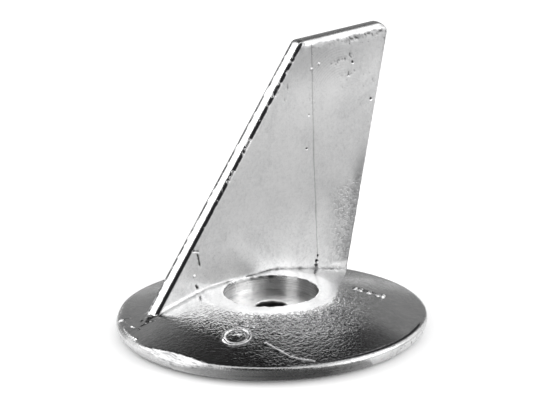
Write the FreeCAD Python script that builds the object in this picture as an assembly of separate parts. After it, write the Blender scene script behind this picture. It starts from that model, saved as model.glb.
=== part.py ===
"""Trim tab anode: a cast zinc disc with a swept fin, bolted under an engine's gearcase.

Frame: millimetres, +Z up. The origin is where the bolt axis meets the disc's flat
underside. +X runs along the fin towards its trailing edge, and the fin stands on the
+Y side of the bolt axis. The fin's near side is the one that faces the bolt.
"""
import FreeCAD
import Part
import math
import os

from FreeCAD import Vector

# Disc: a flat underside, a rim rounded well under at its foot, and a cone up to the hub.
disc_diameter = 92.0
rim_height = 4.7
rim_top_round = 0.8
rim_foot_round = 3.8
hub_height = 11.7
hub_flat_diameter = 38.0
hub_edge_round = 12.0

# Bolt seat: the recess for the bolt's head, and the hole for the bolt.
recess_diameter = 28.0
recess_depth = 4.6
bolt_hole_diameter = 9.0

# Insert: the steel piece cast into the floor of the recess. Its flange runs this far
# under the zinc all round the recess.
insert_flange_grip = 3.5
insert_flange_thickness = 2.6
insert_barrel_diameter = 21.0
insert_notch_count = 4
insert_notch_diameter = 5.0

# Fin: a flat blade. Its leading and trailing edges lean towards +X by their sweep, in
# degrees, and stand this far in from the rim, along X on the near side, at the underside.
fin_height = 80.7
fin_tip_rise = 0.6
fin_thickness = 5.0
fin_side_gap = 0.3
fin_lead_setback = 5.8
fin_lead_sweep = 38.4
fin_trail_setback = 1.9
fin_trail_sweep = 13.4
fin_tip_corner_round = 3.0
fin_root_fillet = 1.8

# Bevels along the fin's edges: how deep into the thickness, and how wide across the side.
lead_near_bevel = (1.2, 0.9)
lead_far_bevel = (0.9, 0.9)
tip_near_bevel = (1.7, 1.6)
tip_far_bevel = (0.5, 0.5)
trail_near_bevel = (0.4, 0.4)
trail_far_bevel = (2.0, 2.0)

# Worked out from the sizes above.
disc_radius = disc_diameter / 2
hub_flat_radius = hub_flat_diameter / 2
recess_radius = recess_diameter / 2
recess_floor = hub_height - recess_depth
fin_near_y = recess_radius + fin_side_gap
fin_far_y = fin_near_y + fin_thickness
fin_sunk_z = rim_height / 4
rim_reach = math.sqrt(disc_radius ** 2 - fin_near_y ** 2)
cone_slope = (hub_height - rim_height) / (disc_radius - hub_flat_radius)
cone_angle = math.atan(cone_slope)
lead_lean = math.tan(math.radians(fin_lead_sweep))
trail_lean = math.tan(math.radians(fin_trail_sweep))

# A cutting tool runs this far past what it cuts, and the cone this far past the rim.
overrun = 5.0
rim_stock = 8.0

# Two places closer than this are the same place.
touching = 1e-3


def circular_edges(solid, radius, height):
    """Full circles about the Z axis, of one radius, at one height."""
    found = []
    for edge in solid.Edges:
        curve = edge.Curve
        if not isinstance(curve, Part.Circle):
            continue
        centre = curve.Center
        on_axis = math.hypot(centre.x, centre.y) < touching
        right_size = abs(curve.Radius - radius) < touching
        if on_axis and right_size and abs(centre.z - height) < touching:
            found.append(edge)
    return found


def revolved(corners):
    """The solid that a closed outline in the XZ plane sweeps about the Z axis."""
    face = Part.Face(Part.makePolygon(corners + corners[:1]))
    return face.revolve(Vector(0, 0, 0), Vector(0, 0, 1), 360)


def make_wide_disc():
    """The disc before its rim is cut: the cone runs on past the rim, for the fin's root."""
    wide_radius = disc_radius + rim_stock
    wide_height = rim_height - rim_stock * cone_slope
    disc = revolved([
        Vector(0, 0, 0),
        Vector(wide_radius, 0, 0),
        Vector(wide_radius, 0, wide_height),
        Vector(hub_flat_radius, 0, hub_height),
        Vector(0, 0, hub_height),
    ])
    return disc.makeFillet(hub_edge_round, circular_edges(disc, hub_flat_radius, hub_height))


def arc_about(centre, radius, start, end):
    """An arc in the XZ plane, its start and end given as angles in degrees from +X."""
    points = []
    for angle in (start, (start + end) / 2, end):
        turn = math.radians(angle)
        points.append(centre + Vector(radius * math.cos(turn), 0, radius * math.sin(turn)))
    return Part.Arc(*points).toShape()


def make_rim_tool():
    """What is cut away outside the rim, with the rounds of the rim's two edges."""
    slope = math.degrees(cone_angle)
    top_drop = rim_top_round * (1 - math.sin(cone_angle)) / math.cos(cone_angle)
    top_centre = Vector(disc_radius - rim_top_round, 0, rim_height - top_drop)
    foot_centre = Vector(disc_radius - rim_foot_round, 0, rim_foot_round)
    top_arc = arc_about(top_centre, rim_top_round, 90 - slope, 0)
    foot_arc = arc_about(foot_centre, rim_foot_round, 0, -90)
    meets_cone = top_arc.Vertexes[0].Point
    outside = disc_radius + rim_stock + overrun
    wall = Part.makePolygon([top_arc.Vertexes[-1].Point, foot_arc.Vertexes[0].Point])
    back = Part.makePolygon([
        foot_arc.Vertexes[-1].Point,
        Vector(foot_centre.x, 0, -overrun),
        Vector(outside, 0, -overrun),
        Vector(outside, 0, meets_cone.z),
        meets_cone,
    ])
    outline = Part.Wire([top_arc] + wall.Edges + [foot_arc] + back.Edges)
    return Part.Face(outline).revolve(Vector(0, 0, 0), Vector(0, 0, 1), 360)


def lead_x(z):
    """Where the fin's leading edge stands along X at one height."""
    return fin_lead_setback - rim_reach + z * lead_lean


def trail_x(z):
    """Where the fin's trailing edge stands along X at one height."""
    return rim_reach - fin_trail_setback + z * trail_lean


def fin_corners():
    """The blade's four corners on its near side, from the leading foot round by the tip."""
    lead_tip_z = fin_height - fin_tip_rise
    return [
        Vector(lead_x(fin_sunk_z), fin_near_y, fin_sunk_z),
        Vector(lead_x(lead_tip_z), fin_near_y, lead_tip_z),
        Vector(trail_x(fin_height), fin_near_y, fin_height),
        Vector(trail_x(fin_sunk_z), fin_near_y, fin_sunk_z),
    ]


def bevel_tool(start, end, inward, side_y, bevel):
    """A wedge that cuts a bevel along one edge of the blade, on the side at side_y.

    Its slant face passes through the bevel's two lines, and its other faces stand clear.
    """
    depth, width = bevel
    into = math.copysign(1.0, (fin_near_y + fin_far_y) / 2 - side_y)
    along = (end - start).normalize() * overrun
    corner = Vector(start.x, side_y, start.z) - along
    across = inward * width
    deep = Vector(0, into * depth, 0)
    wedge = [
        corner - across - deep,
        corner + across * 2 - deep,
        corner - across + deep * 2,
    ]
    face = Part.Face(Part.makePolygon(wedge + wedge[:1]))
    return face.extrude(end - start + along * 2)


def make_fin():
    """The blade with its bevels, its foot sunk into the disc."""
    lead_foot, lead_tip, trail_tip, trail_foot = fin_corners()
    corners = [lead_foot, lead_tip, trail_tip, trail_foot]
    face = Part.Face(Part.makePolygon(corners + corners[:1]))
    blade = face.extrude(Vector(0, fin_thickness, 0))
    tip_corner = []
    for edge in blade.Edges:
        middle = edge.CenterOfMass
        if math.hypot(middle.x - trail_tip.x, middle.z - trail_tip.z) < touching:
            tip_corner.append(edge)
    blade = blade.makeFillet(fin_tip_corner_round, tip_corner)
    bevels = [
        (lead_foot, lead_tip, lead_near_bevel, lead_far_bevel),
        (lead_tip, trail_tip, tip_near_bevel, tip_far_bevel),
        (trail_tip, trail_foot, trail_near_bevel, trail_far_bevel),
    ]
    for start, end, near_bevel, far_bevel in bevels:
        run = (end - start).normalize()
        inward = Vector(run.z, 0, -run.x)
        blade = blade.cut(bevel_tool(start, end, inward, fin_near_y, near_bevel))
        blade = blade.cut(bevel_tool(start, end, inward, fin_far_y, far_bevel))
    return blade


def root_edges(solid):
    """The edges where the fin's two flat sides meet the top of the disc."""
    found = []
    for edge in solid.Edges:
        box = edge.BoundBox
        on_disc = fin_sunk_z < box.ZMin and box.ZMax < hub_height + touching
        for side_y in (fin_near_y, fin_far_y):
            if on_disc and abs(box.YMin - side_y) < touching and box.YLength < touching:
                found.append(edge)
    return found


def make_insert():
    """The steel piece: a barrel down to the underside, a notched flange and a bolt hole."""
    flange_foot = recess_floor - insert_flange_thickness
    flange_radius = recess_radius + insert_flange_grip
    insert = Part.makeCylinder(insert_barrel_diameter / 2, recess_floor)
    flange = Part.makeCylinder(
        flange_radius, insert_flange_thickness, Vector(0, 0, flange_foot)
    )
    insert = insert.fuse(flange)
    for index in range(insert_notch_count):
        angle = 2 * math.pi * (index + 0.5) / insert_notch_count
        centre = Vector(math.cos(angle), math.sin(angle), 0) * flange_radius
        insert = insert.cut(Part.makeCylinder(insert_notch_diameter / 2, hub_height, centre))
    return insert.removeSplitter()


def bolt_hole():
    """A tool for the bolt's hole, longer than the piece at both ends."""
    start = Vector(0, 0, -overrun)
    return Part.makeCylinder(bolt_hole_diameter / 2, hub_height + overrun * 2, start)


def make_casting(insert):
    """Disc and fin in one pour of zinc, round the insert, with the recess for the bolt."""
    casting = make_wide_disc().fuse(make_fin()).removeSplitter()
    casting = casting.makeFillet(fin_root_fillet, root_edges(casting))
    casting = casting.cut(make_rim_tool())
    recess = Part.makeCylinder(
        recess_radius, recess_depth + overrun, Vector(0, 0, recess_floor)
    )
    return casting.cut(recess).cut(insert)


def main():
    """Write each piece as a STEP file named after its node."""
    os.makedirs("parts", exist_ok=True)
    insert = make_insert()
    pieces = {
        "anode_casting": make_casting(insert),
        "bolt_seat_insert": insert.cut(bolt_hole()),
    }
    for node, shape in pieces.items():
        shape.exportStep(os.path.join("parts", node + ".step"))
        solids = len(shape.Solids)
        print(node, "solids", solids, "valid", shape.isValid(), "mm3", round(shape.Volume, 1))


main()
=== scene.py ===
"""Trim tab anode: the shown surfaces and finishes of a cast zinc disc with a swept fin."""

import math

import bmesh
import bpy
import numpy as np
from mathutils import Matrix, Vector


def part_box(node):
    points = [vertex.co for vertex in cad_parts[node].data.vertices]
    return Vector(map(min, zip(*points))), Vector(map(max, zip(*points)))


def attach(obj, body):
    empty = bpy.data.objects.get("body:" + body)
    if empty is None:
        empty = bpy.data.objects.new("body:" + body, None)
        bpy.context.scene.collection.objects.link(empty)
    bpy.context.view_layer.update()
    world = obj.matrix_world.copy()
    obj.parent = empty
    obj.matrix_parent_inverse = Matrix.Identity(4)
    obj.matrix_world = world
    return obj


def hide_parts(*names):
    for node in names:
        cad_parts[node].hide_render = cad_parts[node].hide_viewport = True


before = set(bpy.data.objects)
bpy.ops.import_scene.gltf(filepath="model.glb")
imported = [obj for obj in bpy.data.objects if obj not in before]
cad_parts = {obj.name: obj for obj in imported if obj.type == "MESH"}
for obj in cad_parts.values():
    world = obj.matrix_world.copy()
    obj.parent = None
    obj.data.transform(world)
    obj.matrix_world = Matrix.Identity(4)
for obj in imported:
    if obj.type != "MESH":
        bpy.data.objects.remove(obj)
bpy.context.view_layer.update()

bl_info = {
    "name": "Trim Tab Anode",
    "version": (1, 0, 0),
    "blender": (4, 5, 0),
    "location": "View3D > Sidebar > Anode",
    "description": "Builds the zinc casting, its steel bolt seat and the studio round them",
    "category": "Object",
}

MM = 0.001
casting_low, casting_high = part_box("anode_casting")
insert_low, insert_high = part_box("bolt_seat_insert")


def length(name, note, size):
    """A length property, given in metres."""
    return bpy.props.FloatProperty(
        name=name, description=note, default=size, min=0.0, precision=5,
        subtype="DISTANCE", unit="LENGTH",
    )


def amount(name, note, size, top=1.0):
    """A plain number property."""
    return bpy.props.FloatProperty(name=name, description=note, default=size, min=0.0, max=top)


def colour(name, note, shade):
    """A colour property."""
    return bpy.props.FloatVectorProperty(
        name=name, description=note, default=shade, size=3, min=0.0, max=1.0, subtype="COLOR"
    )


class AnodeCastingSizes(bpy.types.PropertyGroup):
    """The sizes of the zinc casting."""

    disc_radius: length("Disc radius", "From the bolt axis to the rim", 46.0 * MM)
    rim_height: length("Rim height", "Height of the rim's sharp corner", 4.7 * MM)
    rim_top_round: length("Rim top round", "Round along the rim's top edge", 0.8 * MM)
    rim_wear: length("Rim wear", "Extra top round where the gate was dressed", 1.6 * MM)
    filed_depth: length("Filed flat", "Depth of the flat filed on the rim", 1.3 * MM)
    rim_foot_round: length("Rim foot round", "Round along the rim's foot", 3.8 * MM)
    hub_height: length("Hub height", "Height of the flat round the recess", 11.7 * MM)
    hub_flat_radius: length("Hub flat radius", "Where the flat turns into the cone", 19.0 * MM)
    hub_blend: length("Hub blend", "How softly the flat turns into the cone", 0.39 * MM)
    recess_radius: length("Recess radius", "Recess for the bolt's head", 14.0 * MM)
    recess_round: length("Recess edge round", "Wear on the recess's top edge", 0.3 * MM)
    fin_near: length("Fin near side", "Where the fin's near side stands along Y", 14.3 * MM)
    fin_height: length("Fin height", "Height of the trailing tip corner", 80.7 * MM)
    fin_thickness: length("Fin thickness", "Between the fin's two flat sides", 5.0 * MM)
    fin_lead_setback: length("Lead setback", "Leading foot in from the rim", 5.8 * MM)
    fin_trail_setback: length("Trail setback", "Trailing foot in from the rim", 1.9 * MM)
    fin_tip_rise: length("Tip rise", "Climb of the tip to its trailing end", 0.6 * MM)
    fin_tip_round: length("Tip corner round", "Round of the trailing tip corner", 3.0 * MM)
    fin_edge_round: length("Fin edge round", "Softness of the fin's cast edges", 0.28 * MM)
    fin_root_fillet: length("Fin root fillet", "Hollow where the fin meets the disc", 0.8 * MM)
    skin_pitch: length("Skin pitch", "Spacing of the casting's surface points", 0.62 * MM)
    skin_relief: length("Skin relief", "Depth of the cast skin's waves", 0.05 * MM)


class AnodeInsertSizes(bpy.types.PropertyGroup):
    """The sizes of the steel bolt seat."""

    hole_radius: length("Bolt hole radius", "Clearance hole for the bolt", 4.5 * MM)
    barrel_radius: length("Barrel radius", "Barrel down to the underside", 10.5 * MM)
    flange_thickness: length("Flange thickness", "Flange under the recess", 2.6 * MM)
    notch_radius: length("Notch radius", "Notches that key the flange in the zinc", 2.5 * MM)
    edge_round: length("Edge round", "Softened edges of the bolt hole", 0.35 * MM)
    skin_pitch: length("Skin pitch", "Spacing of the seat's surface points", 0.4 * MM)


class AnodeFinish(bpy.types.PropertyGroup):
    """Colours and shine of the two metals."""

    zinc_bright: colour("Bright zinc", "Clean cast zinc", (0.76, 0.76, 0.76))
    zinc_dull: colour("Dull zinc", "Zinc that has started to dull", (0.59, 0.592, 0.595))
    # This darkens real grime and also paints shade: on the cone's front, one side of the recess,
    # the orange peel's hollows and the bolt hole's wall.
    zinc_grime_and_shade: colour("Zinc grime", "Dirt left in pits and corners", (0.10, 0.10, 0.105))
    # This near black marks pits and cuts, and paints the shadows along the recess's far edge,
    # beside the ticks, along the fin's root and on the leading edge's bevels.
    zinc_soot_and_shade: colour("Zinc soot", "Black dirt in cuts and torn edges", (0.035, 0.035, 0.037))
    zinc_roughness: amount("Zinc roughness", "How blurred the zinc's shine is", 0.24)
    steel: colour("Steel", "Turned steel", (0.78, 0.775, 0.77))
    steel_roughness: amount("Steel roughness", "How blurred the steel's shine is", 0.24)


class AnodeStage(bpy.types.PropertyGroup):
    """Floor, lights and camera."""

    floor: colour("Floor", "Plain pale floor", (0.93, 0.93, 0.93))
    room: amount("Room light", "Brightness of the pale room", 1.05, 10.0)
    key: amount("Key light", "Brightness of the soft light at the right", 2.3, 100.0)
    edge: amount("Edge light", "Brightness of the soft light behind", 2.2, 100.0)
    lens: amount("Lens", "Focal length in millimetres", 172.69, 1000.0)


# ---- Shapes as fields: below nought inside, above nought outside, in millimetres ----


def round_cut(one, other, radius):
    """What two shapes share, with a round along the edge where they meet."""
    corner = np.hypot(np.maximum(one + radius, 0), np.maximum(other + radius, 0))
    return np.minimum(np.maximum(one, other), -radius) + corner


def round_corner(one, other, radius, between):
    """What two flat sides share, rounded truly where they meet at a slant.

    between is the cosine of the angle between the two sides' ways out.
    """
    a, b = one + radius, other + radius
    past = (a > between * b) & (b > between * a)
    apex = np.sqrt(np.maximum(a * a + b * b - 2 * between * a * b, 0) / (1 - between ** 2))
    return np.where(past, apex, np.maximum(a, b)) - radius


def round_join(one, other, radius):
    """Two shapes together, with a hollow fillet where they meet."""
    corner = np.hypot(np.maximum(radius - one, 0), np.maximum(radius - other, 0))
    return np.maximum(np.minimum(one, other), radius) - corner


def soft_cut(one, other, width):
    """What two shapes share, where they meet at a shallow angle."""
    share = np.clip(0.5 + 0.5 * (one - other) / width, 0, 1)
    return other + (one - other) * share + width * share * (1 - share)


def ease(low, high, value):
    """Nought below low, one above high, and a smooth step between."""
    share = np.clip((value - low) / (high - low), 0, 1)
    return share * share * (3 - 2 * share)


def way_to(turn, climb):
    """The way from the origin, from its turn and its climb in degrees."""
    turn, climb = math.radians(turn), math.radians(climb)
    return (math.cos(turn) * math.cos(climb), math.sin(turn) * math.cos(climb),
            math.sin(climb))


class CastingShape:
    """The zinc casting as a field, from the sizes in the panel."""

    lead_sweep = math.radians(38.4)
    trail_sweep = math.radians(13.4)
    lead_near, lead_far = (0.8, 0.65), (0.7, 0.7)
    tip_near, tip_far = (1.5, 1.15), (0.5, 0.5)
    trail_near, trail_far = (0.4, 0.4), (2.0, 2.0)
    filed_turn, filed_climb = 192.0, 40.0

    def __init__(self, sizes, seat):
        for name in AnodeCastingSizes.__annotations__:
            setattr(self, name, getattr(sizes, name) / MM)
        self.seat = seat
        self.filed_way = way_to(self.filed_turn, self.filed_climb)
        climb = math.radians(self.filed_climb)
        corner = self.disc_radius * math.cos(climb) + self.rim_height * math.sin(climb)
        self.filed_reach = corner - self.filed_depth
        self.floor_z = insert_high.z / MM
        self.fin_far = self.fin_near + self.fin_thickness
        self.reach = math.sqrt(self.disc_radius ** 2 - self.fin_near ** 2)
        run = self.disc_radius - self.hub_flat_radius
        self.slope = math.atan((self.hub_height - self.rim_height) / run)
        self.lead_tip_z = self.fin_height - self.fin_tip_rise
        self.tip_run = self.trail_x(self.fin_height) - self.lead_x(self.lead_tip_z)

    def lead_x(self, z):
        """Where the leading edge stands along X at a height."""
        return self.fin_lead_setback - self.reach + z * math.tan(self.lead_sweep)

    def trail_x(self, z):
        """Where the trailing edge stands along X at a height."""
        return self.reach - self.fin_trail_setback + z * math.tan(self.trail_sweep)

    def filed_gap(self, x, y, z):
        """How far outside the flat filed on the rim a point is."""
        lean_x, lean_y, lean_z = self.filed_way
        return x * lean_x + y * lean_y + z * lean_z - self.filed_reach

    def disc(self, x, y, z):
        """The disc: underside, rim, cone and the flat round the recess."""
        out = np.hypot(x, y)
        cone = (out - self.hub_flat_radius) * math.sin(self.slope)
        cone = cone + (z - self.hub_height) * math.cos(self.slope)
        top = soft_cut(z - self.hub_height, cone, self.hub_blend)
        foot = round_cut(out - self.disc_radius, -z, self.rim_foot_round)
        turn = np.degrees(np.arctan2(y, x)) % 360
        worn = ease(118, 140, turn) * (1 - ease(166, 178, turn))
        whole = round_cut(top, foot, self.rim_top_round + self.rim_wear * worn)
        return round_cut(whole, self.filed_gap(x, y, z), 0.25)

    def fin_sides(self, x, y, z):
        """How far outside each side of the fin a point is: lead, trail, tip, near, far."""
        lead = (self.lead_x(z) - x) * math.cos(self.lead_sweep)
        trail = (x - self.trail_x(z)) * math.cos(self.trail_sweep)
        climb = self.fin_tip_rise / self.tip_run
        tip = z - self.lead_tip_z - (x - self.lead_x(self.lead_tip_z)) * climb
        return lead, trail, tip, self.fin_near - y, y - self.fin_far

    def fin(self, x, y, z):
        """The blade with the bevels along its edges."""
        lead, trail, tip, near, far = self.fin_sides(x, y, z)
        acute = -math.sin(self.trail_sweep)
        outline = round_corner(tip, trail, self.fin_tip_round, acute)
        outline = round_cut(outline, lead, 1.0)
        blade = round_cut(outline, np.maximum(near, far), self.fin_edge_round)
        by_trail = ease(-2.5, 2.5, trail - tip)
        by_lead = ease(-1.5, 1.5, lead - np.maximum(tip, trail))
        bevels = [
            (near, self.lead_near, self.tip_near, self.trail_near),
            (far, self.lead_far, self.tip_far, self.trail_far),
        ]
        for side, at_lead, at_tip, at_trail in bevels:
            depth, width = (
                (a_tip + (a_trail - a_tip) * by_trail) * (1 - by_lead) + a_lead * by_lead
                for a_lead, a_tip, a_trail in zip(at_lead, at_tip, at_trail)
            )
            slant = (side / depth + outline / width + 1) / np.hypot(1 / depth, 1 / width)
            softness = self.fin_edge_round * (1 + 1.6 * (1 - by_trail) * (1 - by_lead))
            blade = round_cut(blade, slant, softness)
        return np.maximum(blade, self.rim_height / 4 - z)

    def __call__(self, x, y, z):
        """The whole casting, with the recess and the seat's space cut out."""
        out = np.hypot(x, y)
        fillet = self.fin_root_fillet * (1 - 0.45 * ease(-10, 25, x))
        solid = round_join(self.disc(x, y, z), self.fin(x, y, z), fillet)
        below = np.maximum(solid, z - self.floor_z)
        above = round_cut(solid, self.recess_radius - out, self.recess_round)
        above = np.maximum(above, self.floor_z - z)
        return np.maximum(np.minimum(below, above), -self.seat(x, y, z))


class SeatShape:
    """The steel bolt seat as a field; solid where the bolt passes if drilled is False."""

    def __init__(self, sizes, drilled):
        for name in AnodeInsertSizes.__annotations__:
            setattr(self, name, getattr(sizes, name) / MM)
        self.drilled = drilled
        self.flange_radius = insert_high.x / MM
        self.top = insert_high.z / MM

    def __call__(self, x, y, z):
        """Barrel, notched flange and, if drilled, the bolt hole."""
        out = np.hypot(x, y)
        reach = self.flange_radius / math.sqrt(2)
        flange = np.maximum(out - self.flange_radius, self.top - self.flange_thickness - z)
        notch = np.hypot(np.abs(x) - reach, np.abs(y) - reach) - self.notch_radius
        flange = np.maximum(flange, -notch)
        body = np.minimum(flange, out - self.barrel_radius)
        ends = np.maximum(z - self.top, -z)
        body = np.maximum(body, ends)
        if self.drilled:
            body = np.maximum(body, round_cut(self.hole_radius - out, ends, self.edge_round))
        return body


# ---- Surfaces from fields ----


def in_parts(field, points, size=400000):
    """A field at many points, a part at a time to save memory."""
    values = np.empty(len(points))
    for start in range(0, len(points), size):
        part = points[start:start + size]
        values[start:start + size] = field(part[:, 0], part[:, 1], part[:, 2])
    return values


def facing(field, points, step=0.02):
    """The way out of a field at each point, of length one."""
    steps = np.eye(3) * step
    out = [in_parts(field, points + way) - in_parts(field, points - way) for way in steps]
    out = np.stack(out, axis=1)
    size = np.linalg.norm(out, axis=1, keepdims=True)
    return out / np.maximum(size, 1e-9)


def grid_values(field, low, pitch, blocks):
    """The field on a grid, worked out only in the blocks that the surface may cross."""
    side = 8
    counts = blocks * side
    middles = np.indices(blocks).reshape(3, -1).T * side + (side - 1) / 2
    values = in_parts(field, low + middles * pitch).reshape(blocks)
    for axis in range(3):
        values = np.repeat(values, side, axis=axis)
    close = np.abs(values) < side * pitch
    spots = np.argwhere(close)
    values[close] = in_parts(field, low + spots * pitch)
    return values, counts


def crossings(field, values, low, pitch, axis):
    """Where the surface cuts the grid's lines along one axis, and which way it faces."""
    nodes = np.argwhere(np.diff(values < 0, axis=axis))
    one_on = nodes + np.eye(3, dtype=int)[axis]
    low_value, high_value = values[tuple(nodes.T)], values[tuple(one_on.T)]
    starts_inside = low_value < 0
    low_share, high_share = np.zeros(len(nodes)), np.ones(len(nodes))
    start = low + nodes * pitch
    for _ in range(5):
        share = low_share + (high_share - low_share) * low_value / (low_value - high_value)
        margin = 0.02 * (high_share - low_share)
        share = np.clip(share, low_share + margin, high_share - margin)
        spot = start.copy()
        spot[:, axis] += share * pitch
        value = in_parts(field, spot)
        same = (value < 0) == (low_value < 0)
        low_share, low_value = np.where(same, share, low_share), np.where(same, value, low_value)
        high_share = np.where(same, high_share, share)
        high_value = np.where(same, high_value, value)
    return nodes, spot, facing(field, spot), starts_inside


def skin_over(field, low, high, pitch):
    """Points and four-sided faces over a field's surface, with its sharp edges kept.

    Each grid cell that the surface crosses gets one point, as near as possible to all the
    tangent planes found on the cell's edges. Each crossed grid line gets one face.
    """
    low = low - pitch * 2.37
    blocks = np.ceil((high - low + pitch * 2.5) / pitch / 8).astype(int)
    values, counts = grid_values(field, low, pitch, blocks)
    corners, spots, ways, rings = [], [], [], []
    for axis in range(3):
        nodes, spot, way, starts_inside = crossings(field, values, low, pitch, axis)
        across, up = np.eye(3, dtype=int)[(axis + 1) % 3], np.eye(3, dtype=int)[(axis + 2) % 3]
        ring = np.stack([nodes - across - up, nodes - up, nodes, nodes - across], axis=1)
        ring[~starts_inside] = ring[~starts_inside][:, ::-1]
        rings.append(ring)
        corners += [ring[:, turn] for turn in range(4)]
        spots += [spot] * 4
        ways += [way] * 4
    rings = np.concatenate(rings)
    keys = np.ravel_multi_index(rings.reshape(-1, 3).T, counts).reshape(-1, 4)
    cells, faces = np.unique(keys, return_inverse=True)
    faces = faces.reshape(-1, 4)
    owner = np.searchsorted(cells, np.ravel_multi_index(np.concatenate(corners).T, counts))
    spots, ways = np.concatenate(spots), np.concatenate(ways)
    share = np.bincount(owner)
    middle = np.stack([np.bincount(owner, spots[:, a]) / share for a in range(3)], axis=1)
    gap = np.einsum("ij,ij->i", ways, spots - middle[owner])
    pull = np.stack([np.bincount(owner, ways[:, a] * gap) for a in range(3)], axis=1)
    grip = np.empty((len(cells), 3, 3))
    for a in range(3):
        for b in range(3):
            grip[:, a, b] = np.bincount(owner, ways[:, a] * ways[:, b])
    force, turn = np.linalg.eigh(grip)
    firm = force > 0.08 * force[:, 2:]
    weight = np.where(firm, 1 / np.maximum(force, 1e-9), 0)
    move = np.einsum("nij,nj,nkj,nk->ni", turn, weight, turn, pull)
    cell_low = low + np.stack(np.unravel_index(cells, counts), axis=1) * pitch
    return np.clip(middle + move, cell_low, cell_low + pitch), faces


def settle(field, points, times=2, most=0.2):
    """Move points straight out or in until they lie on the field's surface."""
    for _ in range(times):
        gap = np.clip(in_parts(field, points), -most, most)
        points = points - facing(field, points) * gap[:, None]
    return points


def skin_in_box(shape, box_low, box_high):
    """A shape's settled skin, looked for in the box of the piece it stands in for."""
    low, high = np.array(box_low) / MM, np.array(box_high) / MM
    points, faces = skin_over(shape, low, high, shape.skin_pitch)
    if len(faces) < 1000:
        raise RuntimeError("a skin came out empty")
    return settle(shape, points), faces


class Lumps:
    """Smooth random lumps of about one size: a value from -1 to 1 at each point."""

    def __init__(self, seed):
        self.table = np.random.default_rng(seed).uniform(-1, 1, (32, 32, 32))

    def __call__(self, points, size):
        """The lumps at points, for lumps this many millimetres across."""
        scaled = points / size
        base = np.floor(scaled).astype(int)
        part = scaled - base
        part = part * part * (3 - 2 * part)
        total = np.zeros(len(points))
        for corner in range(8):
            bits = np.array([corner & 1, corner >> 1 & 1, corner >> 2 & 1])
            at = (base + bits) % 32
            weight = np.prod(np.where(bits == 1, part, 1 - part), axis=1)
            total += weight * self.table[at[:, 0], at[:, 1], at[:, 2]]
        return total


def finer(points, faces, zone, times):
    """Split the faces whose middles lie in a zone, so that small details have points."""
    form = bmesh.new()
    for point in points:
        form.verts.new(point)
    form.verts.ensure_lookup_table()
    for face in faces:
        form.faces.new([form.verts[index] for index in face])
    for _ in range(times):
        form.faces.ensure_lookup_table()
        middles = np.array([face.calc_center_median() for face in form.faces])
        chosen = np.nonzero(zone(middles))[0]
        edges = {edge for index in chosen for edge in form.faces[index].edges}
        bmesh.ops.subdivide_edges(form, edges=sorted(edges, key=lambda e: e.index), cuts=1,
                                  use_grid_fill=True)
        form.edges.index_update()
    form.verts.index_update()
    points = np.array([vert.co for vert in form.verts])
    faces = [[vert.index for vert in face.verts] for face in form.faces]
    form.free()
    return points, faces


def path_gap(across, up, path):
    """How far points on a plane lie from a line of straight runs."""
    nearest = np.full(len(across), 1e9)
    for (x0, y0), (x1, y1) in zip(path, path[1:]):
        run_x, run_y = x1 - x0, y1 - y0
        share = ((across - x0) * run_x + (up - y0) * run_y) / (run_x ** 2 + run_y ** 2)
        share = np.clip(share, 0, 1)
        gap = np.hypot(across - x0 - share * run_x, up - y0 - share * run_y)
        nearest = np.minimum(nearest, gap)
    return nearest


def bead(gap, half_width):
    """A rounded ridge: one on its line and nought past its half width."""
    return np.clip(1 - (gap / half_width) ** 2, 0, 1)


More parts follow.
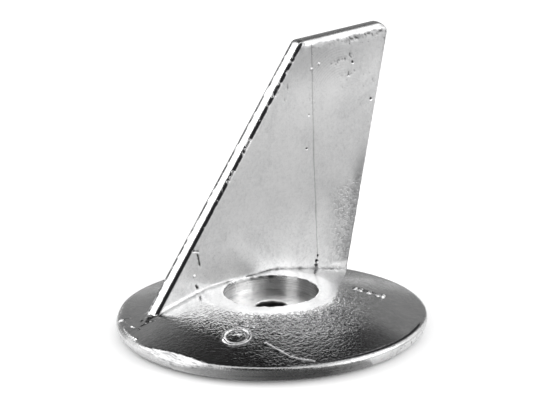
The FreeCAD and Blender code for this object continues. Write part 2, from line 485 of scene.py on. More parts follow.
class CastMarks:
    """What casting and dressing left on the zinc, as lift and as darkening at each point; some of
    the darkening is painted shade.
    """

    parting_line = [(30.9, 11.2), (29.7, 45.8), (29.4, 78.4)]
    pinholes = [(30.5, 10.4, 0.7), (30.3, 9.0, 0.9), (31.0, 12.0, 0.45), (53.2, 57.6, 0.5),
                (45.6, 70.4, 0.45), (43.9, 66.6, 0.4), (28.0, 57.2, 0.5), (26.9, 47.0, 0.35)]
    fin_dents = [[(-15.9, 22.9), (-15.4, 21.2), (-15.1, 19.5)],
                 [(-16.7, 13.4), (-16.1, 12.5)],
                 [(-17.2, 24.3), (-15.6, 24.0)]]
    mould_ring = (-26.7, -16.4, 3.75)
    flow_line = [(-23.2, -24.7), (-22.8, -29.7), (-22.2, -34.3), (-20.5, -37.4),
                 (-18.1, -39.8)]
    flash_specks = [(-19.9, -16.9, 0.9), (-21.4, -14.6, 0.6)]
    fin_dings = [(32.2, 72.1, 0.5), (29.3, 71.0, 0.55), (-17.2, 16.4, 0.6)]
    tick_row = (25.2, -15.4, 0.615, -0.788)
    tick_count, tick_spacing = 4, 2.6
    gate_strokes = [[(-37.6, 21.2), (-39.0, 16.8), (-39.1, 13.2)],
                    [(-40.1, 18.8), (-42.2, 14.3), (-43.4, 9.0)]]
    gate_burr = [(-38.2, 26.0), (-37.5, 25.4), (-37.0, 23.9)]
    gate_cuts = [[(-33.8, 12.3), (-35.3, 13.4), (-37.7, 13.7)],
                 [(-36.4, 23.4), (-35.2, 22.6)]]
    foot_burr = (-34.6, 15.6, 7.2)

    def __init__(self, shape, points):
        self.shape = shape
        self.x, self.y, self.z = points.T
        self.points, self.way = points, facing(shape, points, 0.1)
        self.out = np.hypot(self.x, self.y)
        self.turn = np.degrees(np.arctan2(self.y, self.x)) % 360
        self.from_ring = np.hypot(self.x - self.mould_ring[0], self.y - self.mould_ring[1])
        self.top = ease(0.6, 0.85, self.way[:, 2]) * (self.z < 12) * (self.out > 14.6)
        near = np.abs(self.y - shape.fin_near) < 0.4
        self.face = ease(0.6, 0.85, -self.way[:, 1]) * near * (self.z > 7)
        self.lift = np.zeros(len(points))
        self.dirt_and_shade = np.zeros(len(points))
        self.lumps = Lumps(3)

    def ridge(self, share, height, dirt_and_shade=0.0):
        """Raise the skin by a height, or sink it if that is below nought."""
        self.lift += share * height
        self.dirt_and_shade = np.maximum(self.dirt_and_shade, share * dirt_and_shade)

    def gaps(self):
        """How far each point is from the small marks that need a finer skin."""
        x, y, z = self.x, self.y, self.z
        on_top = [
            np.abs(self.from_ring - self.mould_ring[2]) - 0.4,
            path_gap(x, y, self.flow_line),
            *[np.hypot(x - a, y - b) - r for a, b, r in self.flash_specks],
            self.tick_gap() - 0.3,
            *[path_gap(x, y, run) for run in self.gate_strokes + self.gate_cuts],
            path_gap(x, y, self.gate_burr) - 0.3,
        ]
        on_face = [
            path_gap(x, z, self.parting_line) + 0.2,
            *[path_gap(x, z, run) for run in self.fin_dents],
            *[np.hypot(x - a, z - b) - r for a, b, r in self.pinholes + self.fin_dings],
        ]
        top_gap = np.where(self.top > 0.3, np.min(on_top, axis=0), 9)
        face_gap = np.where(self.face > 0.3, np.min(on_face, axis=0), 9)
        lead, _, _, near, _ = self.shape.fin_sides(x, y, z)
        edge_gap = np.where(z > 8, np.hypot(lead + 0.3, near + 0.4) - 0.5, 9)
        on_rim = (self.turn > 236) & (self.turn < 306) & (z > 4.4)
        rim_gap = np.where(on_rim, np.abs(self.out - 44.75), 9)
        return np.min([top_gap, face_gap, edge_gap, rim_gap], axis=0)

    def tick_gap(self):
        """How far each point is from the row of short raised ticks."""
        x0, y0, along_x, along_y = self.tick_row
        along = (self.x - x0) * along_x + (self.y - y0) * along_y
        across = (self.x - x0) * along_y - (self.y - y0) * along_x
        middle = (self.tick_count - 1) / 2
        index = np.clip(np.round(along / self.tick_spacing), -middle, middle)
        from_tick = along - index * self.tick_spacing
        return np.hypot(from_tick, np.maximum(np.abs(across) - 1.1, 0))

    def put_on_disc(self):
        """The marks on the disc's cone and rim, with painted shadows beside the ticks."""
        x, y, top = self.x, self.y, self.top
        rough = self.lumps(self.points, 0.8)
        ring = np.abs(self.from_ring - self.mould_ring[2])
        broken = 0.75 + 0.5 * self.lumps(self.points, 1.4) + 0.3 * rough
        self.ridge(top * bead(ring, 0.55) * broken, 0.36)
        self.ridge(top * bead(ring - 0.85, 0.35), -0.05, 0.5)
        self.ridge(top * bead(self.from_ring, 1.0), 0.3)
        self.ridge(top * bead(path_gap(x, y, self.flow_line), 0.35), 0.13)
        for speck_x, speck_y, size in self.flash_specks:
            self.ridge(top * bead(np.hypot(x - speck_x, y - speck_y), size), 0.28)
        self.ridge(top * bead(self.tick_gap(), 0.8) * (0.8 + 0.5 * rough), 0.6)
        # Painted shadow: a shallow sunk band along each tick's far side, painted dark as the
        # tick's shadow.
        painted_shadow_side = ease(0, 0.5, (x - self.tick_row[0]) * 0.6 + (y - self.tick_row[1]) * 0.8)
        self.ridge(top * bead(self.tick_gap() - 0.8, 0.5) * painted_shadow_side, -0.16, 1.0)
        for run in self.gate_strokes:
            self.ridge(top * bead(path_gap(x, y, run), 0.45) * (1 + 0.5 * rough), 0.22)
        self.ridge(top * bead(path_gap(x, y, self.gate_burr), 0.6) * (1 + rough), 0.4)
        for run in self.gate_cuts:
            self.ridge(top * bead(path_gap(x, y, run), 0.35), -0.16, 0.8)
        step = bead(self.out - 44.75, 0.45) * ease(232, 262, self.turn)
        step = step * (1 - ease(300, 308, self.turn)) * (self.z > 4.8)
        self.ridge(np.clip(step * 1.6, 0, 1), -0.04, 1.0)
        tool_lines = bead(self.z - 3.5, 0.35) + bead(self.z - 2.2, 0.3)
        tool_lines = tool_lines * (self.out > 44) * ease(206, 222, self.turn)
        self.ridge(tool_lines * (1 - ease(252, 268, self.turn)), -0.06, 0.6)
        rim = (self.out > 44.6) * (self.z > 0.4) * (self.z < 4.9)
        rim = rim * (np.abs(self.turn - 197) > 32)
        self.ridge(rim * np.clip(rough * 2 - 0.6, 0, 1), -0.05, 0.5)
        gap = np.linalg.norm(self.points - self.foot_burr, axis=1)
        lumpy = self.lumps(self.points, 0.9)
        self.ridge(bead(gap, 2.4) * np.clip(lumpy + 0.3, 0, 1), 0.7)
        self.ridge(bead(gap, 2.6) * np.clip(-lumpy - 0.1, 0, 1), -0.3, 1.0)

    def put_on_fin(self):
        """The marks on the fin's near side and along its edges, with painted shade along the
        leading edge's bevels and the fin's root.
        """
        x, z, face = self.x, self.z, self.face
        lead, trail, tip, near, far = self.shape.fin_sides(x, self.y, z)
        fine = self.lumps(self.points, 0.55)
        line = path_gap(x, z, self.parting_line)
        self.ridge(face * bead(line, 0.22), -0.1, 0.55)
        for run in self.fin_dents:
            self.ridge(face * bead(path_gap(x, z, run) + 0.15 * fine, 0.4), -0.25, 0.9)
        for pit_x, pit_z, size in self.pinholes:
            gap = np.hypot(x - pit_x, z - pit_z) + 0.25 * fine
            self.ridge(face * bead(gap, size), -0.35, 1.0)
        for ding_x, ding_z, size in self.fin_dings:
            self.ridge(face * bead(np.hypot(x - ding_x, z - ding_z), size), 0.22)
        torn = self.lumps(self.points, 1.6) * 0.6 + self.lumps(self.points, 0.7) * 0.4
        low_part = 1 - ease(20, 50, z)
        dark = np.clip(torn * 2.4 + 0.7 + 1.0 * low_part, 0, 1)
        # A shallow sunk line on the leading edge's near bevel, painted dark as the bevel's shade
        # and broken up by torn lumps.
        lead_groove_and_shade = bead(lead + 0.3, 0.55) * bead(near + 0.4, 0.6) * dark * (z > 8)
        self.ridge(np.clip(lead_groove_and_shade * 2.5, 0, 1), -0.2, 1.0)
        tip_edge = bead(tip + 1.7, 1.2) * bead(near, 0.8)
        self.ridge(tip_edge * torn, 0.3)
        under_tip = bead(tip + 2.6, 1.3) * bead(near, 0.5) * ease(28, 46, x)
        self.ridge(under_tip * np.clip(fine * 2.4 - 0.3, 0, 1), -0.15, 0.8)
        high = face * (1 - ease(8, 30, -tip)) * ease(0.2, 0.55, self.lumps(self.points, 5.0) + 0.3)
        self.ridge(high * np.clip(fine * 2.6 - 1.3, 0, 1), -0.12, 0.75)
        # The leading edge's far bevel, sunk a little and painted dark as its shade.
        far_edge_and_shade = bead(far + 1.0, 0.75) * bead(lead, 0.7) * (z > 8)
        self.ridge(far_edge_and_shade * np.clip(0.8 + 1.8 * torn, 0, 1), -0.1, 1.0)
        self.ridge(bead(trail + 0.7, 0.4) * bead(near, 0.5) * (0.6 + torn), 0, 0.35)
        on_disc = self.shape.disc(x, self.y, z)
        # Painted shade along the fin's root, where it meets the disc, strongest towards +X,
        # damping the fillet's bright reflection.
        root = bead(np.hypot(on_disc, near) - 0.25, 0.55) * (self.out > 14.2)
        root = root * (0.3 + 0.7 * ease(-14, -4, x))
        self.ridge(root * np.clip(0.75 + 0.5 * torn, 0, 1), 0, 0.85)
        foot = bead(near, 0.5) * ease(30, 38, x) * (1 - ease(30, 42, z)) * bead(trail, 7.0)
        self.ridge(foot * torn, 0.12)

    def put_on_recess(self):
        """Small burrs along the recess's top edge, and a painted shadow along its far edge."""
        edge = bead(self.out - self.shape.recess_radius - 0.2, 0.6) * (self.z > 10)
        edge = edge * (self.z < 12.2)
        torn = self.lumps(self.points, 1.3)
        self.ridge(edge * torn, 0.14, 0.0)
        far_side = ease(38, 50, self.turn) * (1 - ease(76, 88, self.turn))
        # Painted shadow: a dark line just under the recess's far top edge, in the gap there.
        painted_lip_shadow = bead(self.out - self.shape.recess_radius, 0.35) * bead(self.z - 11.1, 0.7)
        self.painted_lip_shadow = painted_lip_shadow * far_side * np.clip(0.9 + torn, 0, 1)

    def frozen_grain(self):
        """Where the cone froze rough in the mould, mostly on its front."""
        out, turn = self.out, self.turn
        front = ease(176, 226, turn) * (1 - ease(268, 300, turn))
        front = front * (1 - 0.95 * ease(25, 35, out + 0.1 * (250 - turn)))
        band = ease(150, 175, turn) * (1 - ease(318, 345, turn)) * (1 - ease(27, 36, out))
        front = np.maximum(front, 0.32 * band)
        return self.top * ease(18.4, 22.0, out) * (0.08 + 0.92 * front)

    def put_on(self):
        """Put every mark on the skin: the moved points, and the marks to store at them."""
        shape, x, z, out, turn = self.shape, self.x, self.z, self.out, self.turn
        hidden = (out < 18) & (z < 7.2)
        under = (z < 0.05) | (self.way[:, 2] < -0.9)
        recess = (out < shape.recess_radius + 0.1) & (z > shape.floor_z - 0.1)
        bare = 1 - (hidden | under | recess)
        grain = self.frozen_grain()
        wave = self.lumps(self.points, 2.4) * 0.5 + self.lumps(self.points, 1.3) * 0.5
        self.lift += wave * shape.skin_relief * (0.12 + 0.88 * grain)
        self.put_on_disc()
        self.put_on_fin()
        self.put_on_recess()
        points = self.points + self.way * (self.lift * bare)[:, None]
        points[:, 2] = np.maximum(points[:, 2], 0)
        _, trail, tip, near, _ = shape.fin_sides(*points.T)
        side = bead(near, 0.6)
        froze = side * ease(30, 40, x - 0.1 * z) * (z > 8.5)
        froze = froze * (1 - ease(26, 40, z + 4 * self.lumps(points, 6.0)))
        low_side = side * (1 - ease(34, 48, z)) * (1 - ease(2, 6, -trail)) * (z > 8)
        upper = side * (1 - ease(4, 18, -tip)) * (1 - 0.25 * ease(34, 44, x))
        # Painted shade on the cone's front, between the hub and mid-slope, darkening it where it
        # mirrors the bright fin.
        painted_front_shade = ease(200, 236, turn) * (1 - ease(278, 296, turn)) * ease(19.5, 24, out)
        # Darker zinc: duller patches on the fin's near side, round the hub flat and where the zinc
        # froze, plus painted shade on the cone's front and on one side of the recess.
        dull = np.max([
            0.8 * low_side,
            0.75 * upper,
            0.45 * (out < 20) * self.top,
            painted_front_shade * self.top,
            0.35 * recess * ease(90, 110, turn) * (turn < 200),
            0.4 * froze,
        ], axis=0)
        scuffed = side * ease(28, 31, x) * (1 - ease(40, 44, x))
        spotted = side * (1 - ease(3, 12, -tip)) * ease(30, 46, x)
        rim = (out > 44.6) * (z < 4.9) * (z > 0.3)
        filed = bead(shape.filed_gap(*points.T), 1.1) * (out > 41)
        return points, {
            "grain": np.maximum(grain, 0.5 * froze),
            # Soiling in pits and cuts, and painted shadows, the recess's far edge among them.
            "grime": np.clip(self.dirt_and_shade * bare + self.painted_lip_shadow, 0, 1),
            "turned": np.maximum(recess, 0.6 * (out > 44.8) * (z < 4.6)),
            "dull": dull,
            "scuffed": scuffed * ease(64, 68, z) * (1 - ease(75, 78, z)),
            "poured": self.top,
            "filed": filed * (self.way[:, 2] < 0.93),
            "satin": side * (0.35 + 0.65 * (1 - ease(20, 34, z))) * (z > 8),
            "spotted": np.max([spotted, 0.6 * dull, 0.35 * rim], axis=0),
        }


def mesh_object(name, points, faces):
    """A mesh object in the scene, its points in metres."""
    mesh = bpy.data.meshes.new(name)
    mesh.from_pydata(points, [], faces)
    mesh.update()
    made = bpy.data.objects.new(name, mesh)
    bpy.context.collection.objects.link(made)
    return made


def new_piece(name, points, faces, marks):
    """A piece that rides on the one body, with its marks per point."""
    piece = mesh_object(name, points * MM, faces)
    mesh = piece.data
    for label, values in marks.items():
        mesh.attributes.new(label, "FLOAT", "POINT").data.foreach_set("value", values)
    mesh.shade_smooth()
    mesh.set_sharp_from_angle(angle=math.radians(40))
    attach(piece, "root")
    return piece


# ---- Materials ----


class Value:
    """A shader socket that takes Python's operators, adding a Math node for each."""

    def __init__(self, finish, socket):
        self.finish = finish
        self.socket = socket

    def maths(self, operation, *terms):
        """One Math node on these terms."""
        return self.finish.node("ShaderNodeMath", {"operation": operation}, list(terms))

    def __add__(self, other):
        return self.maths("ADD", self, other)

    def __radd__(self, other):
        return self.maths("ADD", other, self)

    def __sub__(self, other):
        return self.maths("SUBTRACT", self, other)

    def __rsub__(self, other):
        return self.maths("SUBTRACT", other, self)

    def __mul__(self, other):
        return self.maths("MULTIPLY", self, other)

    def __rmul__(self, other):
        return self.maths("MULTIPLY", other, self)

    def __pow__(self, other):
        return self.maths("POWER", self, other)

    def __abs__(self):
        return self.maths("ABSOLUTE", self)

    def sine(self):
        """The sine of this value, in radians."""
        return self.maths("SINE", self)


class Finish:
    """One procedural material, with the nodes that it needs."""

    # Where the Mix node keeps its sockets when it mixes colours.
    MIX_SHARE, MIX_ONE, MIX_OTHER, MIX_RESULT = 0, 6, 7, 2

    def __init__(self, name):
        self.material = bpy.data.materials.new(name)
        self.material.use_nodes = True
        self.tree = self.material.node_tree
        self.tree.nodes.clear()
        self.place = self.node("ShaderNodeTexCoord", {}, {}, "Object")

    def node(self, kind, settings, inputs, output=0):
        """A node: its type, its settings, then its sockets' values or links."""
        made = self.tree.nodes.new(kind)
        for name, setting in settings.items():
            setattr(made, name, setting)
        pairs = inputs.items() if isinstance(inputs, dict) else enumerate(inputs)
        for name, given in pairs:
            if isinstance(given, Value):
                self.tree.links.new(given.socket, made.inputs[name])
            else:
                made.inputs[name].default_value = given
        return Value(self, made.outputs[output]) if made.outputs else None

    def split(self, vector):
        """The three parts of a vector."""
        parts = self.node("ShaderNodeSeparateXYZ", {}, [vector])
        return [Value(self, socket) for socket in parts.socket.node.outputs]

    def noise(self, size, detail=3.0, rough=0.5, warp=0.0):
        """Noise with lumps about this many millimetres across."""
        sockets = {"Vector": self.place, "Scale": 1 / (size * MM), "Detail": detail,
                   "Roughness": rough, "Distortion": warp}
        return self.node("ShaderNodeTexNoise", {}, sockets)

    def streaks(self, per_metre, detail=3.0, turn=(0.0, 0.0, 0.0)):
        """Noise drawn out along the ways that have few streaks per metre."""
        sockets = {"Vector": self.place, "Rotation": turn, "Scale": per_metre}
        drawn_out = self.node("ShaderNodeMapping", {}, sockets)
        return self.along(drawn_out, detail)

    def along(self, place, detail):
        """Noise at places that are already scaled."""
        sockets = {"Vector": place, "Scale": 1.0, "Detail": detail}
        return self.node("ShaderNodeTexNoise", {}, sockets)

    def step(self, value, low, high):
        """Nought below low and one above high, with a smooth step between."""
        settings = {"interpolation_type": "SMOOTHSTEP"}
        return self.node("ShaderNodeMapRange", settings, [value, low, high, 0.0, 1.0])

    def mark(self, name):
        """A mark stored at the mesh's points."""
        return self.node("ShaderNodeAttribute", {"attribute_name": name}, {}, "Fac")

    def blend(self, share, one, other):
        """From one colour to the other."""
        one = one if isinstance(one, Value) else (*one, 1)
        sockets = {self.MIX_SHARE: share, self.MIX_ONE: one, self.MIX_OTHER: (*other, 1)}
        return self.node("ShaderNodeMix", {"data_type": "RGBA"}, sockets, self.MIX_RESULT)

    def relief(self, height, depth, below=None):
        """A bump, its height given in nought to one of this many millimetres."""
        sockets = {"Strength": 1.0, "Distance": depth * MM, "Height": height}
        if below:
            sockets["Normal"] = below
        return self.node("ShaderNodeBump", {}, sockets)

    def metal(self, shade, roughness, normal):
        """The finished metal surface."""
        sockets = {"Base Color": shade, "Metallic": 1.0, "Roughness": roughness,
                   "Normal": normal}
        surface = self.node("ShaderNodeBsdfPrincipled", {}, sockets)
        self.node("ShaderNodeOutputMaterial", {}, {"Surface": surface})
        return self.material


def cast_zinc(looks):
    """Bright cast zinc: mottled, orange-peeled where it froze in the mould, and pitted, with
    painted shade in the orange peel's hollows, along some creases and edges, and on the cone's
    front.
    """
    zinc = Finish("cast_zinc")
    grain, grime, turned, dull_and_shade, spotted, poured, filed, satin, scuffed = map(
        zinc.mark, "grain grime turned dull spotted poured filed satin scuffed".split()
    )
    clouds = zinc.noise(14.0, 4.0, 0.6, 0.6)
    mottle = zinc.noise(1.3, 4.0, 0.7)
    freckle = zinc.noise(0.42, 2.0, 0.6)
    peel = zinc.step(zinc.noise(1.0, 2.0, 0.55, 0.4), 0.36, 0.62)
    strokes = zinc.streaks((2400.0, 150.0, 2400.0), turn=(0.25, 0.0, 0.35))
    upright = zinc.streaks((1500.0, 1500.0, 220.0), turn=(0.0, 0.12, 0.0))
    rings = zinc.streaks((60.0, 60.0, 4000.0), detail=2.0)

    # The colour: bright metal, duller in clouds, then darkened one mark after another, by real
    # soiling and by painted shade.
    dull = zinc.step(clouds * 0.55 + mottle * 0.45, 0.36, 0.68)
    shade = zinc.blend(dull, looks.zinc_bright, looks.zinc_dull)
    smudge = zinc.step(zinc.noise(5.0, 3.0, 0.55, 1.2), 0.60, 0.72)
    speckle = zinc.step(zinc.noise(0.5, 2.0, 0.7), 0.50, 0.75)
    specks = zinc.step(zinc.noise(0.8, 3.0, 0.75), 0.60, 0.70) * (0.12 + 0.75 * spotted)
    for dirt_and_shade in (
        # The dull mark holds real dull patches, and painted shade on the cone's front and on one
        # side of the recess.
        dull_and_shade * 0.6,
        smudge * satin * 0.12,
        swirls(zinc, clouds, satin) * 0.16,
        scuffs(zinc) * scuffed * 0.13,
        speckle * (0.1 + 0.12 * satin),
    ):
        shade = zinc.blend(dirt_and_shade, shade, looks.zinc_grime_and_shade)
    # Near black: soiling in pits and cuts, and painted shadows along the recess's far edge, beside
    # the ticks, along the fin's root and on the leading edge's bevels.
    shade = zinc.blend(zinc.step(grime + specks, 0.0, 1.0), shade, looks.zinc_soot_and_shade)
    for dirt_and_shade in (
        # Painted shade in the orange peel's hollows, in place of the dark that their slopes would
        # mirror.
        (1 - peel) * grain * 0.75,
        zinc.step(strokes, 0.46, 0.68) * filed * 0.6,
        zinc.step(rings, 0.5, 0.7) * turned * 0.35,
    ):
        shade = zinc.blend(dirt_and_shade, shade, looks.zinc_grime_and_shade)

    # The shine: smoother where it was turned or froze against the mould.
    smooth = looks.zinc_roughness - 0.08 * turned - 0.12 * poured - 0.02 * grain
    smooth = smooth + 0.2 * filed
    rough = smooth + 0.06 * dull + 0.04 * freckle + 0.14 * satin + 0.25 * grime

    # The relief, in millimetres: each bump lies on the one before.
    normal = None
    for height, depth in (
        (mottle, 0.022),
        (upright * satin, 0.02),
        (peel * grain, 0.16),
        (strokes * filed, 0.05),
        (freckle, 0.008),
        (rings * turned, 0.09),
    ):
        normal = zinc.relief(height, depth, normal)
    return zinc.metal(shade, rough, normal)


def swirls(zinc, clouds, satin):
    """Faint wandering lines left where the zinc flowed down the fin."""
    wander = zinc.noise(9.0, 3.0, 0.55, 1.6) - 0.5
    streak = 1 - zinc.step(abs(wander), 0.0, 0.016)
    return streak * zinc.step(clouds, 0.48, 0.62) * zinc.step(satin, 0.1, 0.3)


def scuffs(zinc):
    """Faint arcs round one place on the fin, from a turning abrasive disc."""
    x, _, z = zinc.split(zinc.place)
    across, climb = x - 41.0 * MM, z - 60.0 * MM
    out = (across * across + climb * climb) ** 0.5
    return zinc.step((out * (7.5 / MM)).sine(), 0.2, 1.0)


def turned_steel(looks):
    """Steel turned on a lathe, with fine rings round the bolt axis, and painted shade down the
    bolt hole.
    """
    steel = Finish("turned_steel")
    x, y, z = steel.split(steel.place)
    out = (x * x + y * y) ** 0.5
    place = steel.node("ShaderNodeCombineXYZ", {}, [out * 4000, z * 4000, 0.0])
    rings = steel.along(place, 3.0)
    stain = steel.noise(2.5, 4.0, 0.6)
    shade = steel.blend(steel.step(stain, 0.45, 0.7), looks.steel, looks.zinc_dull)
    # Painted shade darkens the bolt hole's wall, away from the hole's two ends.
    shade = steel.blend(steel.mark("painted_bore_shade") * 0.85, shade, looks.zinc_grime_and_shade)
    rough = looks.steel_roughness + 0.12 * stain + 0.1 * rings
    return steel.metal(shade, rough, steel.relief(rings, 0.03))


# ---- Operators ----


class ANODE_OT_build_casting(bpy.types.Operator):
    """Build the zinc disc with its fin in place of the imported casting"""

    bl_idname = "anode.build_casting"
    bl_label = "Build Casting"

    def execute(self, context):
        """Make the casting's skin, put the marks of casting on it and give it zinc."""
        scene = context.scene
        shape = CastingShape(scene.anode_casting, SeatShape(scene.anode_insert, False))

        def small_marks(middles):
            return CastMarks(shape, middles).gaps() < 0.45

        points, faces = skin_in_box(shape, casting_low, casting_high)
        points, faces = finer(points, faces, small_marks, 2)
        points, stored = CastMarks(shape, settle(shape, points)).put_on()
        piece = new_piece("zinc_casting", points, faces, stored)
        piece.data.materials.append(cast_zinc(scene.anode_finish))
        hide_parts("anode_casting")
        return {"FINISHED"}


class ANODE_OT_build_seat(bpy.types.Operator):
    """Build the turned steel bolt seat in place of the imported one"""

    bl_idname = "anode.build_seat"
    bl_label = "Build Bolt Seat"

    def execute(self, context):
        """Make the seat's skin and give it turned steel."""
        scene = context.scene
        shape = SeatShape(scene.anode_insert, True)
        points, faces = skin_in_box(shape, insert_low, insert_high)
        out, z = np.hypot(points[:, 0], points[:, 1]), points[:, 2]
        # Painted shade on the bolt hole's wall, fading out near both ends of the hole.
        painted_bore_shade = ease(0.2, 0.9, shape.top - z) * (out < shape.hole_radius + 0.2)
        painted_bore_shade = painted_bore_shade * ease(0.3, 1.2, z)
        piece = new_piece("steel_bolt_seat", points, faces, {"painted_bore_shade": painted_bore_shade})
        piece.data.materials.append(turned_steel(scene.anode_finish))
        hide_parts("bolt_seat_insert")
        return {"FINISHED"}


def plain(name, shade, glows=False):
    """A plain stage material, which may glow with its shade."""
    material = bpy.data.materials.new(name)
    material.use_nodes = True
    nodes, links = material.node_tree.nodes, material.node_tree.links
    nodes.clear()
    end = nodes.new("ShaderNodeOutputMaterial")
    surface = nodes.new("ShaderNodeEmission" if glows else "ShaderNodeBsdfDiffuse")
    surface.inputs["Color"].default_value = (*shade, 1)
    links.new(surface.outputs[0], end.inputs["Surface"])
    return material


def stage_sheet(name, points, faces, material):
    """A thin sheet that belongs to the stage and not to the anode."""
    sheet = mesh_object(name, [tuple(point) for point in points], faces)
    sheet.data.materials.append(material)
    return sheet


def unseen(sheet):
    """Let only the metals' shine see a card."""
    for rays in ("camera", "diffuse", "shadow", "transmission"):
        setattr(sheet, "visible_" + rays, False)


def card(name, turns, climbs, distance, glow):
    """A curved card round the anode, between two turns and two climbs in degrees."""
    around = np.linspace(*turns, CARD_STEPS + 1)
    upward = np.linspace(*climbs, CARD_STEPS + 1)
    points = [Vector(way_to(turn, climb)) * distance for climb in upward for turn in around]
    row = CARD_STEPS + 1
    lows = [low for low in range(row * CARD_STEPS) if low % row < CARD_STEPS]
    faces = [(low, low + 1, low + row + 1, low + row) for low in lows]
    unseen(stage_sheet(name, points, faces, plain(name, (glow, glow, glow), True)))


def floor_flag(name, turns, reaches, shades):
    """A flat card on the floor round the anode, which only the shine sees.

    Its brightness runs evenly through the shades from one turn to the other.
    """
    above_floor = Vector((0, 0, 0.3 * MM))
    steps = CARD_STEPS * (len(shades) - 1)
    points, glow = [], []
    for index in range(steps + 1):
        way = Vector(way_to(turns[0] + (turns[1] - turns[0]) * index / steps, 0))
        points += [way * reach + above_floor for reach in reaches]
        share = index / CARD_STEPS
        low = min(int(share), len(shades) - 2)
        glow += [shades[low] + (shades[low + 1] - shades[low]) * (share - low)] * 2
    faces = [(2 * i, 2 * i + 1, 2 * i + 3, 2 * i + 2) for i in range(steps)]
    paint = plain(name, (1, 1, 1), True)
    reader = paint.node_tree.nodes.new("ShaderNodeAttribute")
    reader.attribute_name = "glow"
    lamp = paint.node_tree.nodes["Emission"]
    paint.node_tree.links.new(reader.outputs["Fac"], lamp.inputs["Color"])
    sheet = stage_sheet(name, points, faces, paint)
    sheet.data.attributes.new("glow", "FLOAT", "POINT").data.foreach_set("value", glow)
    unseen(sheet)


def soft_light(name, towards, distance, width, height, glow):
    """A soft light facing the anode, towards a turn and a climb, as bright as its glow."""
    towards = Vector(way_to(*towards))
    lamp = bpy.data.lights.new(name, "AREA")
    lamp.shape = "RECTANGLE"
    lamp.size, lamp.size_y = width, height
    lamp.energy = glow * width * height * math.pi
    light = bpy.data.objects.new(name, lamp)
    light.location = towards * distance + Vector((0, 0, 30 * MM))
    light.rotation_mode = "QUATERNION"
    light.rotation_quaternion = (-towards).to_track_quat("-Z", "Y")
    light.visible_camera = False
    bpy.context.collection.objects.link(light)


# How many steps a card has each way, and a flag from one shade to the next.
CARD_STEPS = 12

# The cards, which give the metals something to mirror: name, turns, climbs, distance and glow.
CARDS = [
    ("right_sheet", (-50, 12), (38, 66), 1.1, 1.8),
    ("dark_ceiling", (24, 100), (38, 80), 1.2, 0.02),
    ("grey_wall", (16, 100), (3, 14), 1.15, 0.285),
    ("wall_middle", (16, 100), (14, 35), 1.15, 0.26),
    ("wall_top", (16, 100), (35, 42), 1.15, 0.09),
    ("left_flag", (190, 245), (28, 62), 1.1, 0.03),
    ("camera_side", (196, 262), (-3, 28), 1.0, 0.03),
]

# The cards on the floor: name, turns, inner and outer reach, and the shades from turn to turn.
FLOOR_FLAGS = [
    ("front_flag", (190, 270), (0.0423, 0.25), (0.7, 0.3, 0.09, 0.1, 0.4)),
    ("right_flag", (276, 352), (0.060, 0.33), (0.60, 0.60)),
    ("back_flag", (8, 112), (0.052, 1.3), (0.23, 0.17, 0.12)),
    ("hole_shade", (0, 360), (0, 0.0075), (0.004, 0.004)),
]

# The camera: its place, and the ways to its right, down its picture and ahead of it.
CAMERA_PLACE = (-0.46457, -0.55437, 0.26382)
CAMERA_RIGHT = Vector((0.76281, -0.64643, -0.0157))
CAMERA_DOWN = Vector((-0.2029, -0.21623, -0.95503))
CAMERA_AHEAD = Vector((0.61396, 0.73169, -0.2961))


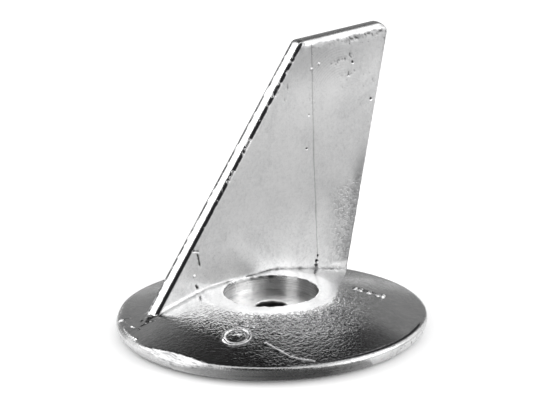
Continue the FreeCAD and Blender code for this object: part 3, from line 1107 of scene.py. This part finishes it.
class ANODE_OT_set_stage(bpy.types.Operator):
    """Lay the floor, hang the soft lights and cards, and place the camera"""

    bl_idname = "anode.set_stage"
    bl_label = "Set Stage"

    def execute(self, context):
        """Make the floor, the lights, the cards and the camera."""
        scene = context.scene
        stage = scene.anode_stage
        half, under = 6.0, -0.2 * MM
        square = ((-half, -half), (half, -half), (half, half), (-half, half))
        corners = [(x, y, under) for x, y in square]
        stage_sheet("floor", corners, [(0, 1, 2, 3)], plain("pale_floor", stage.floor))
        world = bpy.data.worlds.new("pale_room")
        world.use_nodes = True
        room = world.node_tree.nodes["Background"]
        room.inputs["Color"].default_value = (1, 1, 1, 1)
        room.inputs["Strength"].default_value = stage.room
        scene.world = world
        soft_light("key_light", (-52, 24), 0.9, 0.8, 0.55, stage.key)
        soft_light("edge_light", (120, 37), 0.9, 0.5, 0.6, stage.edge)
        for settings in CARDS:
            card(*settings)
        for settings in FLOOR_FLAGS:
            floor_flag(*settings)
        eye = bpy.data.cameras.new("camera")
        eye.lens = stage.lens
        eye.sensor_width = 36.0
        eye.clip_start = 0.01
        eye.clip_end = 50.0
        camera = bpy.data.objects.new("camera", eye)
        turn = Matrix((CAMERA_RIGHT, -CAMERA_DOWN, -CAMERA_AHEAD)).transposed()
        camera.matrix_world = Matrix.Translation(CAMERA_PLACE) @ turn.to_4x4()
        bpy.context.collection.objects.link(camera)
        scene.camera = camera
        scene.view_settings.view_transform = "Standard"
        return {"FINISHED"}


class ANODE_PT_panel(bpy.types.Panel):
    """The anode's sizes, finishes and stage, with a button for each piece"""

    bl_idname = "ANODE_PT_panel"
    bl_label = "Trim Tab Anode"
    bl_space_type = "VIEW_3D"
    bl_region_type = "UI"
    bl_category = "Anode"

    def draw(self, context):
        """List the operators and the properties."""
        layout = self.layout
        for operator in (ANODE_OT_build_casting, ANODE_OT_build_seat, ANODE_OT_set_stage):
            layout.operator(operator.bl_idname)
        for name, group in GROUPS.items():
            box = layout.box()
            for label in group.__annotations__:
                box.prop(getattr(context.scene, name), label)


GROUPS = {
    "anode_casting": AnodeCastingSizes,
    "anode_insert": AnodeInsertSizes,
    "anode_finish": AnodeFinish,
    "anode_stage": AnodeStage,
}
CLASSES = (
    AnodeCastingSizes, AnodeInsertSizes, AnodeFinish, AnodeStage,
    ANODE_OT_build_casting, ANODE_OT_build_seat, ANODE_OT_set_stage, ANODE_PT_panel,
)


def register():
    """Add the classes and their settings to the scene."""
    for item in CLASSES:
        bpy.utils.register_class(item)
    for name, group in GROUPS.items():
        setattr(bpy.types.Scene, name, bpy.props.PointerProperty(type=group))


def unregister():
    """Take the classes and their settings away again."""
    for name in GROUPS:
        delattr(bpy.types.Scene, name)
    for item in reversed(CLASSES):
        bpy.utils.unregister_class(item)


def main():
    """Register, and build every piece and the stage."""
    register()
    bpy.ops.anode.build_casting()
    bpy.ops.anode.build_seat()
    bpy.ops.anode.set_stage()


if __name__ == "__main__":
    main()
